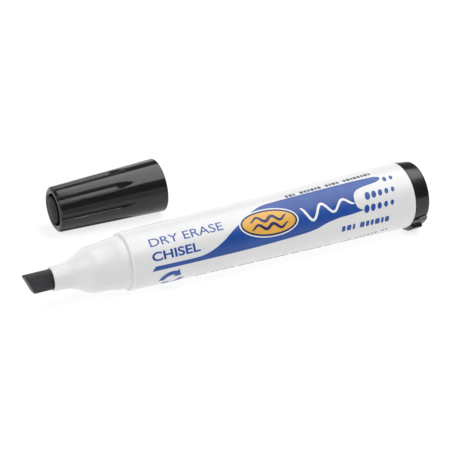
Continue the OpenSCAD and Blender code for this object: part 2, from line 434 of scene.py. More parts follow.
def rounded(corners: Sequence[tuple[float, float, float]], arc: int = 6) -> np.ndarray:
    """A profile through corners, each with a fillet tangent to both of its sides.

    The fillet of radius f at a corner whose sides meet at an inner angle a starts f / tan(a/2) from it. One more point
    stands just past each end of a fillet, so that the shading of the long stretches stays even.

    Args:
        corners: station, radius and fillet of each corner.
        arc: straight pieces in a fillet.

    Returns:
        An array of (station, radius).
    """
    points: list[np.ndarray] = []
    for i, (u, r, fillet) in enumerate(corners):
        here = np.array([u, r])
        if fillet <= 0 or i in (0, len(corners) - 1):
            points.append(here)
            continue
        back = np.array(corners[i - 1][:2]) - here
        ahead = np.array(corners[i + 1][:2]) - here
        room = min(np.linalg.norm(back), np.linalg.norm(ahead))
        back, ahead = back / np.linalg.norm(back), ahead / np.linalg.norm(ahead)
        half = 0.5 * math.acos(float(np.clip(back @ ahead, -1.0, 1.0)))
        reach = min(fillet / math.tan(half), 0.45 * room)
        centre_way = (back + ahead) / np.linalg.norm(back + ahead)
        radius = reach * math.tan(half)
        centre = here + centre_way * radius / math.sin(half)
        first, last = here + back * reach, here + ahead * reach
        t = np.linspace(0.0, 1.0, arc + 1)[:, None]
        spoke = (first - centre) * (1 - t) + (last - centre) * t
        spoke *= radius / np.linalg.norm(spoke, axis=1)[:, None]
        extra = min(0.35 * reach, 0.04 * room)
        points += [first + back * extra, *(centre + spoke), last + ahead * extra]
    return np.array(points)


class Shell:
    """Grids of points that are gathered into one mesh object."""

    def __init__(self) -> None:
        """Starts with no faces."""
        self.points: list[np.ndarray] = []
        self.faces: list[np.ndarray] = []
        self.total = 0

    def add(self, grid: np.ndarray) -> None:
        """Adds a grid of points; rows or columns that close on themselves repeat their first points.

        A closed grid that comes out inside out (its volume, the sum of p . (q x s) / 6, is negative) is turned.

        Args:
            grid: points of shape (rows, columns, 3), in metres.
        """
        rows, columns = grid.shape[:2]
        index = np.arange(rows * columns).reshape(rows, columns)
        quads = np.stack([index[:-1, :-1], index[:-1, 1:], index[1:, 1:], index[1:, :-1]], -1).reshape(-1, 4)
        flat = grid.reshape(-1, 3)
        local = flat - flat.mean(0)
        p = local[quads]
        volume = sum(float((p[:, 0] * np.cross(p[:, a], p[:, b])).sum()) for a, b in ((1, 2), (2, 3)))
        if volume < 0:
            quads = quads[:, ::-1]
        self.points.append(flat)
        self.faces.append(quads + self.total)
        self.total += len(flat)

    def revolve(self, axis: Axis, profile: np.ndarray, columns: int,
                radius: Optional[Callable[[np.ndarray, np.ndarray, np.ndarray], np.ndarray]] = None) -> None:
        """Adds a turned surface: point(i, j) = axis.point(u_i, r, a_j), with a_j evenly round from the underside.

        Args:
            axis: the axis it is turned about.
            profile: (station, radius) along the profile.
            columns: how many columns go round.
            radius: takes stations, radii and angles and gives the real radius, for flutes and feet.
        """
        angle = (np.linspace(0.0, 1.0, columns + 1) * 2.0 * math.pi - 0.5 * math.pi)[None, :]
        u, r = profile[:, :1] + 0 * angle, profile[:, 1:] + 0 * angle
        if radius is not None:
            r = radius(u, r, angle + 0 * u)
        self.add(axis.point(u, r, angle))

    def block(self, axis: Axis, u: tuple[float, float], r: tuple[float, float], thick: float, angle: float) -> None:
        """Adds a flat plate like a spoke: stations u, radii r, at an angle round the axis.

        Args:
            axis: the axis.
            u: its two ends.
            r: its inner and outer radius.
            thick: its thickness.
            angle: where it stands, in radians.
        """
        square = np.array([[-1, -1], [1, -1], [1, 1], [-1, 1], [-1, -1]]) * 0.5
        across, outward = square[:, 0] * thick, (square[:, 1] + 0.5) * (r[1] - r[0]) + r[0]
        near = outward * math.cos(angle) - across * math.sin(angle)
        up = outward * math.sin(angle) + across * math.cos(angle)
        ring = np.stack([near, up], -1)
        hub = ring[:4].mean(0)[None, :] + 0 * ring
        rows = [(u[0], hub), (u[0], ring), (u[1], ring), (u[1], hub)]
        self.add(np.stack([axis.cross(x, shape[:, 0], shape[:, 1]) for x, shape in rows]))

    def finish(self, name: str, finish: Finish, sharp: float = 38.0) -> bpy.types.Object:
        """Makes the object, with doubles merged and its material on.

        Args:
            name: the piece's name.
            finish: what it is made of.
            sharp: edges that bend by more degrees than this stay crisp.

        Returns:
            The new object.
        """
        mesh = bpy.data.meshes.new(name)
        mesh.from_pydata(np.concatenate(self.points).tolist(), [], np.concatenate(self.faces).tolist())
        work = bmesh.new()
        work.from_mesh(mesh)
        bmesh.ops.remove_doubles(work, verts=work.verts, dist=2e-7)
        bmesh.ops.dissolve_degenerate(work, edges=work.edges, dist=1e-8)
        work.to_mesh(mesh)
        work.free()
        mesh.shade_smooth()
        mesh.set_sharp_from_angle(angle=math.radians(sharp))
        mesh.materials.append(finish.material())
        return placed(name, mesh)


def report(piece: bpy.types.Object, what: str) -> None:
    """Logs a finished piece and what it is."""
    LOG.info("%s: %s, %d faces", piece.name, what, len(piece.data.polygons))


# ---- Marker ------------------------------------------------------------------


@dataclass
class Barrel:
    """White tube with its waisted nose."""

    axis: Axis
    length: float = 84.6
    shoulder_r: float = 7.8
    tail_r: float = 9.35
    wall: float = 1.3
    seat_r: float = 7.0
    seat_len: float = 2.4
    nose_len: float = 20.0
    waist_at: float = 8.5
    waist_r: float = 6.25
    tube_from: float = 16.4
    tube_r: float = 3.45
    mouth_r: float = 3.25
    bore_r: float = 2.68
    bore_end: float = 18.0
    cavity_from: float = 15.2
    cavity_len: float = 7.9
    cavity_r: float = 5.1
    stop_at: float = 0.6
    stop_r: float = 5.65
    plain: float = 8.0
    fins: int = 6
    fin_from: float = 14.6
    fin_r: tuple[float, float] = (2.8, 3.2)
    fin_thick: float = 0.9
    columns: int = 192

    def radius(self, u: np.ndarray) -> np.ndarray:
        """Outside radius of the tapered tube at station u."""
        return self.shoulder_r + (self.tail_r - self.shoulder_r) * u / self.length

    def profile(self) -> np.ndarray:
        """The closed profile, out along the nose and tube and back through the bore.

        The nose swells from the tube to the waist as r = a + (b - a) ease(t), and from there to the seat with t
        squared. The tube's long stretch starts and ends plain millimetres from its rounded edges.

        Returns:
            An array of (station, radius).
        """
        t = np.linspace(0.0, 1.0, 33)
        swell = np.stack([-self.tube_from + (self.tube_from - self.waist_at) * t,
                          self.tube_r + (self.waist_r - self.tube_r) * ease(t)], -1)
        flare = np.stack([-self.waist_at + (self.waist_at - self.seat_len) * t[1:],
                          self.waist_r + (self.seat_r - self.waist_r) * t[1:] ** 2], -1)
        cavity = np.stack([-self.cavity_from + self.cavity_len * t,
                           self.bore_r + (self.cavity_r - self.bore_r) * ease(t)], -1)[::-1]
        front = rounded([(-self.bore_end, self.bore_r, 0), (-self.nose_len, self.bore_r, 0.08),
                         (-self.nose_len, self.mouth_r, 0.2), (-self.tube_from, self.tube_r, 0)])
        step = rounded([tuple(flare[-1]) + (0.0,), (0.0, self.seat_r, 0.12), (0.0, self.shoulder_r, 0.22),
                        (self.plain, self.radius(self.plain), 0.0)])
        back = rounded([(self.length - self.plain, self.radius(self.length - self.plain), 0.0),
                        (self.length, self.tail_r, 0.08), (self.length, self.tail_r - self.wall, 0.05),
                        (self.stop_at, self.shoulder_r - self.wall, 0.0), (self.stop_at, self.stop_r, 0.0)])
        return np.concatenate([front[:-1], swell, flare[:-1], step, back, cavity, front[:1]])

    def build(self) -> bpy.types.Object:
        """Makes the barrel.

        Returns:
            The piece.
        """
        shell = Shell()
        shell.revolve(self.axis, self.profile(), self.columns)
        for i in range(self.fins):
            shell.block(self.axis, (-self.fin_from, self.stop_at - OVERLAP), self.fin_r, self.fin_thick,
                        math.radians(90 + 360 / self.fins * i))
        made = shell.finish("barrel_skin", Finish.WHITE)
        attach(made, "marker")
        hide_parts("barrel")
        report(made, "tube and nose")
        return made


@dataclass
class Nib:
    """Felt rod with two flats and a slanted writing edge."""

    axis: Axis
    rod_r: float = 2.7
    half_thick: float = 1.7
    tip: float = -27.4
    rear: float = 8.0
    slant: float = 22.5
    roll: float = 14.0
    edge: float = 0.32
    bevel: float = 0.6
    bevel_len: float = 1.2
    round_to: float = -16.0

    def section(self, inset: float, columns: int = 96) -> np.ndarray:
        """Outline of the rod's section, pulled in by inset: a circle cut by two flats, with rounded corners.

        With half-width w across the flats and radius R, a point at angle a is (w, R) scaled to the softened smaller of
        R and w / |cos a|, by the power mean (R^-n + (w/|cos a|)^-n)^(-1/n).

        Args:
            inset: how far it is pulled in.
            columns: points round it.

        Returns:
            An array of (across, up).
        """
        a = np.linspace(0.0, 2.0 * math.pi, columns + 1)
        w, big, power = self.half_thick - inset, self.rod_r - inset, 14.0
        reach = (big ** -power + (w / np.maximum(np.abs(np.cos(a)), 1e-6)) ** -power) ** (-1.0 / power)
        return np.stack([reach * np.cos(a), reach * np.sin(a)], -1)

    def build(self) -> bpy.types.Object:
        """Makes the nib: the section is carried along the rod, with its end sheared to the writing edge's slant.

        Returns:
            The piece.
        """
        lean, roll = math.tan(math.radians(self.slant)), math.radians(self.roll)
        bend = np.linspace(0.0, 0.5 * math.pi, 7)
        rows: list[tuple[float, float, float]] = [
            (self.rear, self.rod_r - 0.1, 0.0), (self.rear, self.bevel, 0.0),
            (self.rear - self.bevel_len, 0.0, 0.0), (self.round_to, 0.0, 0.0)]
        rows += [(d, 0.0, 1.0) for d in (4.5, 2.0, 1.0, 0.5)]
        rows += [(self.edge * (1 - math.sin(b)), self.edge * (1 - math.cos(b)), 1.0) for b in bend]
        rows += [(0.0, inset, 1.0) for inset in (0.45, 0.7, 1.0, 1.3, 1.55)]
        grid = []
        for where, inset, sheared in rows:
            flat = self.section(inset) if inset < self.half_thick - 0.1 else self.section(1.5) * 0.02
            u = where + sheared * (self.tip + lean * (self.rod_r - flat[:, 1]))
            near = flat[:, 0] * math.cos(roll) - flat[:, 1] * math.sin(roll)
            up = flat[:, 1] * math.cos(roll) + flat[:, 0] * math.sin(roll)
            grid.append(self.axis.cross(u, near, up))
        middle = 0.0 * flat[:, 0]
        hub = self.axis.cross(self.tip + lean * self.rod_r, middle, middle)
        base = self.axis.cross(self.rear, middle, middle)
        shell = Shell()
        shell.add(np.stack([base, *grid, hub]))
        made = shell.finish("nib_felt", Finish.FELT, 50.0)
        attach(made, "marker")
        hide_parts("nib")
        report(made, "felt rod with a chisel end")
        return made


@dataclass
class RearPlug:
    """Black plug with a visible ring, a two-tiered foot and a skirt inside the barrel."""

    axis: Axis
    barrel: Barrel
    ring_len: float = 4.9
    end_r: float = 8.8
    end_round: float = 0.28
    skirt_len: float = 8.0
    skirt_wall: float = 1.1
    end_wall: float = 1.6
    foot_from: float = 25.4
    heel_from: float = 43.0
    foot_step: float = 0.2
    foot_proud: float = 1.05
    heel_back: float = 1.1
    heel_slope: float = 0.9
    groove: float = 0.3
    sole_drop: float = 9.6
    foot_back: float = 0.3
    foot_soft: float = 1.3
    heel_soft: float = 1.5
    end_soft: float = 0.12
    recess: float = 0.3
    recess_in: float = 3.0
    spokes: int = 4
    spoke_r: tuple[float, float] = (0.3, 6.1)
    spoke_reach: float = 1.5
    spoke_thick: float = 0.9
    columns: int = 432

    def outside(self, u: np.ndarray, r: np.ndarray, angle: np.ndarray) -> np.ndarray:
        """Radius of the ring with its foot.

        below is how far, in degrees, a point is under the side of the ring. The foot adds foot_step from foot_from on,
        and foot_proud from heel_from on, where its front slopes over heel_slope. A groove runs along the foot's top
        edge. The sole is flat: r <= drop / sin(below).

        Args:
            u, r: station and plain radius.
            angle: angle round the axis.

        Returns:
            The real radius.
        """
        start = self.barrel.length
        below = np.degrees(np.arcsin(np.clip(-np.sin(angle), -1, 1)))
        on_ring = smooth_step(u - start + 0.02, 0.04) * (r > self.barrel.tail_r - 1.5)
        back = start + self.ring_len - u
        first = smooth_step(below - self.foot_from, self.foot_soft) * smooth_step(back - self.foot_back, self.end_soft)
        second = smooth_step(below - self.heel_from, self.heel_soft) * smooth_step(back - self.heel_back, self.end_soft)
        line = np.exp(-((below - self.foot_from + 1.1) / 0.9) ** 2)
        base = np.where(r > self.barrel.tail_r - 1.0, self.barrel.tail_r, r)
        proud = self.foot_proud - np.clip(self.heel_slope - (u - start), 0, self.heel_slope)
        out = np.maximum(r, 0) + on_ring * (
            first * (base + self.foot_step - r) * (1 - second) + second * (base + proud - r)
            - self.groove * line)
        drop = self.sole_drop + (u - start) * math.tan(math.asin(float(self.axis.along[2])))
        limit = drop / np.maximum(np.sin(np.radians(below)), 1e-3)
        return np.where(on_ring > 0, np.minimum(out, np.where(below > 5, limit, 99.0)), r)

    def build(self) -> bpy.types.Object:
        """Makes the plug: the skirt's and ring's profile is turned, and the foot is raised on the ring.

        Returns:
            The piece.
        """
        start, tail = self.barrel.length, self.barrel.tail_r
        end = start + self.ring_len
        bore = tail - self.barrel.wall
        front = start - self.skirt_len
        skirt = bore - 0.02 - (tail - self.barrel.shoulder_r) * self.skirt_len / start
        inner = skirt - self.skirt_wall
        inside = rounded([(end - self.end_wall, 0.0, 0), (end - self.end_wall, inner, 0.2), (front, inner, 0.1),
                          (front, skirt, 0.2), (start - 0.02, bore - 0.02, 0.0), (start + 0.01, bore - 0.02, 0.0)])
        face = rounded([(start + 0.01, bore, 0.0), (start + 0.01, tail, 0.1), (start + 2.0, tail, 0.0)])
        bend = np.linspace(0.0, 0.5 * math.pi, 7)
        u_side = np.linspace(start + 0.2, end - self.end_round - 0.05, 44)
        side = np.stack([u_side, tail - (tail - self.end_r) * (u_side - start) / self.ring_len], -1)
        corner = np.stack([end - self.end_round + self.end_round * np.sin(bend),
                           self.end_r - self.end_round + self.end_round * np.cos(bend)], -1)
        lip = tail - self.recess_in
        last = rounded([(end, 8.0, 0), (end, lip, 0.12), (end - self.recess, lip - self.recess, 0.12),
                        (end - self.recess, 0.0, 0)])
        shell = Shell()
        profile = np.concatenate([inside, face[:-1], side, corner, last])
        shell.revolve(self.axis, profile, self.columns, self.outside)
        for i in range(self.spokes):
            shell.block(self.axis, (front - self.spoke_reach, end - self.end_wall), self.spoke_r, self.spoke_thick,
                        math.radians(360 / self.spokes * i))
        made = shell.finish("rear_plug_skin", Finish.BLACK)
        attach(made, "marker")
        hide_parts("rear_plug")
        report(made, "plug with its anti-roll foot")
        return made


# ---- Print on the barrel -----------------------------------------------------


def spline(points: Sequence[tuple[float, float]], per_span: int = 8) -> np.ndarray:
    """A Catmull-Rom curve through points, open, with its ends doubled.

    Between p1 and p2: 0.5 (2 p1 + (p2 - p0) t + (2 p0 - 5 p1 + 4 p2 - p3) t^2 + (3 p1 - p0 - 3 p2 + p3) t^3).

    Args:
        points: what it passes through.
        per_span: steps between two of them.

    Returns:
        An array of (across, up).
    """
    p = np.array([points[0], *points, points[-1]], dtype=float)
    t = np.linspace(0.0, 1.0, per_span, endpoint=False)[None, :, None]
    p0, p1, p2, p3 = (p[k:len(p) - 3 + k, None, :] for k in range(4))
    curve = 0.5 * (2 * p1 + (p2 - p0) * t + (2 * p0 - 5 * p1 + 4 * p2 - p3) * t ** 2
                   + (3 * p1 - p0 - 3 * p2 + p3) * t ** 3)
    return np.concatenate([curve.reshape(-1, 2), p[-1:]])


def stroke(line: np.ndarray, width: np.ndarray) -> np.ndarray:
    """Outline of a brush stroke: line + and - half its width along the line's normal.

    Args:
        line: the stroke's middle.
        width: its width at each point.

    Returns:
        The closed outline.
    """
    way = np.gradient(line, axis=0)
    way /= np.linalg.norm(way, axis=1)[:, None]
    normal = np.stack([-way[:, 1], way[:, 0]], -1) * 0.5 * np.broadcast_to(width, len(line))[:, None]
    return np.concatenate([line + normal, (line - normal)[::-1]])


def ellipse(half_u: float, half_up: float, tilt: float = 0.0, count: int = 28) -> np.ndarray:
    """Outline of an ellipse round (0, 0), tilted by an angle in radians."""
    a = np.linspace(0.0, 2 * math.pi, count, endpoint=False)
    x, y = half_u * np.cos(a), half_up * np.sin(a)
    return np.stack([x * math.cos(tilt) - y * math.sin(tilt), x * math.sin(tilt) + y * math.cos(tilt)], -1)


@dataclass
class Print:
    """Marks printed on the barrel. Flat outlines are drawn in millimetres and then wrapped round the cone."""

    axis: Axis
    barrel: Barrel
    lift: float = 0.015
    sink: float = 0.01
    strip: float = 2.5

    def marks(self, loops: Sequence[np.ndarray]) -> bpy.types.Mesh:
        """Fills closed outlines, with holes where they lie in each other.

        Args:
            loops: the outlines, as (station in mm, angle in degrees).

        Returns:
            A flat mesh.
        """
        curve = bpy.data.curves.new("outline", "CURVE")
        curve.dimensions, curve.fill_mode = "2D", "BOTH"
        for loop in loops:
            line = curve.splines.new("POLY")
            line.points.add(len(loop) - 1)
            line.points.foreach_set("co", np.column_stack([loop, 0 * loop[:, :1], 0 * loop[:, :1] + 1]).ravel())
            line.use_cyclic_u = True
        return self._solid(placed("outline", curve))

    def _solid(self, drawn: bpy.types.Object) -> bpy.types.Mesh:
        """Turns a flat curve or text into a mesh, and removes the curve."""
        graph = bpy.context.evaluated_depsgraph_get()
        mesh = bpy.data.meshes.new_from_object(drawn.evaluated_get(graph))
        data = drawn.data
        bpy.data.objects.remove(drawn)
        bpy.data.curves.remove(data)
        return mesh

    def words(self, text: str, box: tuple[float, float, float, float], bold: float = 0.0) -> bpy.types.Mesh:
        """Plain sans-serif letters that fill a box.

        Args:
            text: the letters.
            box: left station, low angle, right station, high angle (stations in mm, angles in degrees).
            bold: how much the letters are thickened, as a share of their size.

        Returns:
            A flat mesh, with stations across and degrees up.
        """
        curve = bpy.data.curves.new("words", "FONT")
        curve.body, curve.size, curve.offset, curve.fill_mode = text, 1.0, bold, "FRONT"
        mesh = self._solid(placed("words", curve))
        place = np.empty(len(mesh.vertices) * 3)
        mesh.vertices.foreach_get("co", place)
        place = place.reshape(-1, 3)
        low, high = place.min(0), place.max(0)
        span = high - low
        place[:, 0] = box[0] + (place[:, 0] - low[0]) / span[0] * (box[2] - box[0])
        place[:, 1] = box[1] + (place[:, 1] - low[1]) / span[1] * (box[3] - box[1])
        mesh.vertices.foreach_set("co", place.ravel())
        return mesh

    def round_mark(self, u: float, angle: float, outline: np.ndarray) -> np.ndarray:
        """Moves an outline drawn in millimetres round (0, 0) to a station and an angle.

        Args:
            u: station of its middle.
            angle: angle of its middle, in degrees.
            outline: the outline.

        Returns:
            The outline as (station, degrees).
        """
        to_degrees = math.degrees(1.0 / self.barrel.radius(u))
        return np.stack([u + outline[:, 0], angle + outline[:, 1] * to_degrees], -1)

    def wrap(self, flat: bpy.types.Mesh, name: str, finish: Finish, layer: int = 0) -> bpy.types.Object:
        """Wraps a flat mesh round the barrel as a thin closed film.

        The mesh is first cut along lines of equal angle, so that it can bend. A point (u, degrees) goes to
        axis.point(u, R(u) + lift, degrees), and a second skin lies a little inside the barrel.

        Args:
            flat: the flat mesh.
            name: the piece's name.
            finish: its ink.
            layer: 0 for ink on the barrel, and one more for ink on ink.

        Returns:
            The piece.
        """
        work = bmesh.new()
        work.from_mesh(flat)
        bmesh.ops.remove_doubles(work, verts=work.verts, dist=1e-4)
        ups = [v.co.y for v in work.verts]
        for line in np.arange(math.floor(min(ups) / self.strip) * self.strip, max(ups), self.strip):
            bmesh.ops.bisect_plane(work, geom=[*work.verts, *work.edges, *work.faces],
                                   plane_co=(0, float(line), 0), plane_no=(0, 1, 0))
        bmesh.ops.triangulate(work, faces=work.faces)
        work.verts.index_update()
        place = np.array([v.co[:2] for v in work.verts])
        faces = np.array([[v.index for v in f.verts] for f in work.faces])
        rims = [(e.verts[0].index, e.verts[1].index) for e in work.edges if len(e.link_faces) == 1]
        work.free()
        a, b, c = (place[faces[:, k]] for k in range(3))
        area = (b - a)[:, 0] * (c - a)[:, 1] - (b - a)[:, 1] * (c - a)[:, 0]
        faces[area < 0] = faces[area < 0][:, ::-1]
        edges = {(int(f[k]), int(f[(k + 1) % 3])) for f in faces for k in range(3)}
        count = len(place)
        walls = [(j, i, i + count, j + count) if (i, j) in edges else (i, j, j + count, i + count) for i, j in rims]
        u, angle = place[:, 0], np.radians(place[:, 1])
        top = self.axis.point(u, self.barrel.radius(u) + self.lift * (layer + 1), angle)
        low = self.axis.point(u, self.barrel.radius(u) - self.sink, angle)
        outward = self.axis.point(0 * u, 1.0 + 0 * u, angle) - self.axis.start
        outward /= np.linalg.norm(outward, axis=1)[:, None]
        order = faces[:, ::-1] if self._inward(top, faces, outward) else faces
        if order is not faces:
            walls = [w[::-1] for w in walls]
        mesh = bpy.data.meshes.new(name)
        mesh.from_pydata(np.concatenate([top, low]).tolist(), [],
                         [*order.tolist(), *(order[:, ::-1] + count).tolist(), *walls])
        mesh.shade_smooth()
        mesh.normals_split_custom_set_from_vertices(np.concatenate([outward, -outward]).tolist())
        mesh.materials.append(finish.material())
        made = placed(name, mesh)
        bpy.data.meshes.remove(flat)
        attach(made, "marker")
        report(made, "print")
        return made

    @staticmethod
    def _inward(top: np.ndarray, faces: np.ndarray, outward: np.ndarray) -> bool:
        """Whether the faces look into the barrel."""
        a, b, c = (top[faces[:, k]] for k in range(3))
        return float((np.cross(b - a, c - a) * outward[faces[:, 0]]).sum()) < 0

    def band(self) -> np.ndarray:
        """Outline of the sweeping band: a thin stripe that swells into a broad flag with a rounded tongue."""
        top = spline([(5.9, 4.6), (12.0, 4.0), (18.5, 4.2), (22.0, 9.6), (25.5, 21.0), (29.3, 38.0), (33.5, 54.0),
                      (36.8, 66.0), (40.5, 73.0), (48.0, 74.6), (58.0, 75.6), (68.0, 75.9), (74.4, 74.6)])
        tongue = spline([(74.4, 74.6), (76.0, 71.5), (76.0, 66.5), (74.2, 61.6), (70.0, 59.0), (67.3, 54.0),
                         (66.2, 45.0), (66.0, 34.0), (66.6, 24.0), (68.2, 18.0)])
        under = spline([(68.2, 18.0), (64.5, 15.6), (60.5, 14.4), (56.6, 10.4), (53.0, 3.6), (48.4, 0.2),
                        (40.9, -2.4), (33.0, -4.2), (22.0, -4.8), (4.9, -4.8)])
        return np.concatenate([top[:-1], tongue[:-1], under])

    def build(self) -> None:
        """Prints everything: the band, two lines of words, an oval badge, a wave, dots, dashes and two arrows."""
        self.wrap(self.marks([self.band()]), "ink_band", Finish.BLUE_INK)
        self.wrap(self.words("DRY ERASE", (5.6, 42.6, 26.6, 59.4), 0.004), "ink_line_upper", Finish.BLUE_INK)
        self.wrap(self.words("CHISEL", (5.3, 14.4, 18.9, 31.6), 0.022), "ink_line_lower", Finish.BLUE_INK)
        self.badge()
        self.wave()
        self.dots()
        self.dashes()
        self.arrows()

    def badge(self) -> None:
        """An oval badge: white keyline, navy ring, amber field and a navy ripple."""
        u, angle, tilt = 39.7, 36.0, -0.1
        sizes = ((8.65, 4.0, Finish.WHITE_INK, "ink_badge_keyline"), (8.25, 3.65, Finish.NAVY_INK, "ink_badge_ring"),
                 (7.7, 3.1, Finish.AMBER_INK, "ink_badge_field"))
        for k, (half_u, half_up, ink, name) in enumerate(sizes):
            oval = self.round_mark(u, angle, ellipse(half_u, half_up, tilt, 72))
            self.wrap(self.marks([oval]), name, ink, 1 + k)
        x = np.linspace(-5.4, 5.4, 60)
        ripples = []
        for shift in (1.05, -1.05):
            line = np.stack([x, 0.62 * np.sin(x * 1.45) + shift + tilt * x], -1)
            width = 0.85 * np.sqrt(np.clip(1 - (x / 5.6) ** 2, 0.02, 1))
            ripples.append(self.round_mark(u, angle, stroke(line, width)))
        self.wrap(self.marks(ripples), "ink_badge_ripple", Finish.NAVY_INK, 4)

    def wave(self) -> None:
        """A white brush wave on the band: u = u0 + x, height = a(x) cos(k x), which dies away to the right."""
        x = np.linspace(0.0, 1.0, 200)
        height = (2.2 - 1.4 * x) * np.cos(2 * math.pi * 2.5 * x + 0.1) + 0.9 * x
        line = np.stack([16.4 * x, height], -1)
        thick = 0.76 * (1.0 - 0.2 * x) * np.sqrt(np.clip(np.minimum(x, 1 - x) * 14, 0.02, 1))
        self.wrap(self.marks([self.round_mark(49.5, 33.0, stroke(line, thick))]), "ink_wave", Finish.WHITE_INK, 1)

    def dots(self) -> None:
        """Rows of dots that shrink to the right."""
        rows, pitch = ((63.5, 77.3, 2), (40.5, 70.2, 5), (18.5, 69.1, 5)), 2.03
        loops = []
        for angle, first, count in rows:
            for i in range(count):
                size = 1.0 - 0.09 * (i + 5 - count)
                mark = ellipse(0.8 * size, 1.14 * size, -0.3)
                loops.append(self.round_mark(first + pitch * i, angle + 0.3 * i, mark))
        self.wrap(self.marks(loops), "ink_dots", Finish.BLUE_INK)

    def dashes(self) -> None:
        """Rows of small rounded blocks in place of small print, in groups like words."""
        groups = (3, 6, 4, 8, 2, 5, 7)
        rows = (("upper", Finish.GREY_INK, (47.5, 75.4), 79.6, 0.2, 1.05, (0.85, 0.28, 1.2)),
                ("lower", Finish.BLUE_INK, (61.1, 77.6), -8.6, 0.0, 1.7, (1.15, 0.42, 1.1)),
                ("base", Finish.GREY_INK, (18.5, 60.0), -52.0, 0.02, 0.9, (0.9, 0.3, 0.9)),
                ("base_end", Finish.GREY_INK, (62.5, 76.8), -49.0, 1.0, 0.6, (0.8, 0.35, 0.9)))
        for name, ink, (start, stop), angle, slope, height, (wide, gap, space) in rows:
            loops, u, count = [], start, 0
            for group in groups * 3:
                for _ in range(group):
                    length = wide * (1.0 + 0.3 * math.sin(2.4 * count))
                    if u + length > stop:
                        break
                    x = np.linspace(0.0, length, 12)
                    end = np.clip(np.abs(x / length - 0.5) * 2 - 0.5, 0, None) * 2
                    bar = stroke(np.stack([x, 0 * x], -1), height * np.sqrt(1.05 - end ** 4))
                    loops.append(self.round_mark(u, angle + slope * (u - start), bar))
                    u += length + gap
                    count += 1
                u += space
            self.wrap(self.marks(loops), f"ink_dashes_{name}", ink)

    def arrows(self) -> None:
        """Two curved arrows that chase each other round a circle."""
        loops = []
        for half in (0.0, math.pi):
            a = np.linspace(0.1, 1.95, 20) + half
            head = 1.95 + half
            ring = [np.stack([r * np.cos(a), r * np.sin(a)], -1) for r in (3.7, 2.1)]
            tip = np.array([2.9 * math.cos(head + 0.72), 2.9 * math.sin(head + 0.72)])
            wide = [np.array([r * math.cos(head), r * math.sin(head)]) for r in (4.6, 1.2)]
            loops.append(np.concatenate([ring[0], [wide[0], tip, wide[1]], ring[1][::-1]]))
        arrows = [self.round_mark(10.8, -37.0, loop * (-1.0, 0.88)) for loop in loops]
        self.wrap(self.marks(arrows), "ink_arrows", Finish.BLUE_INK)


# ---- Cap ---------------------------------------------------------------------


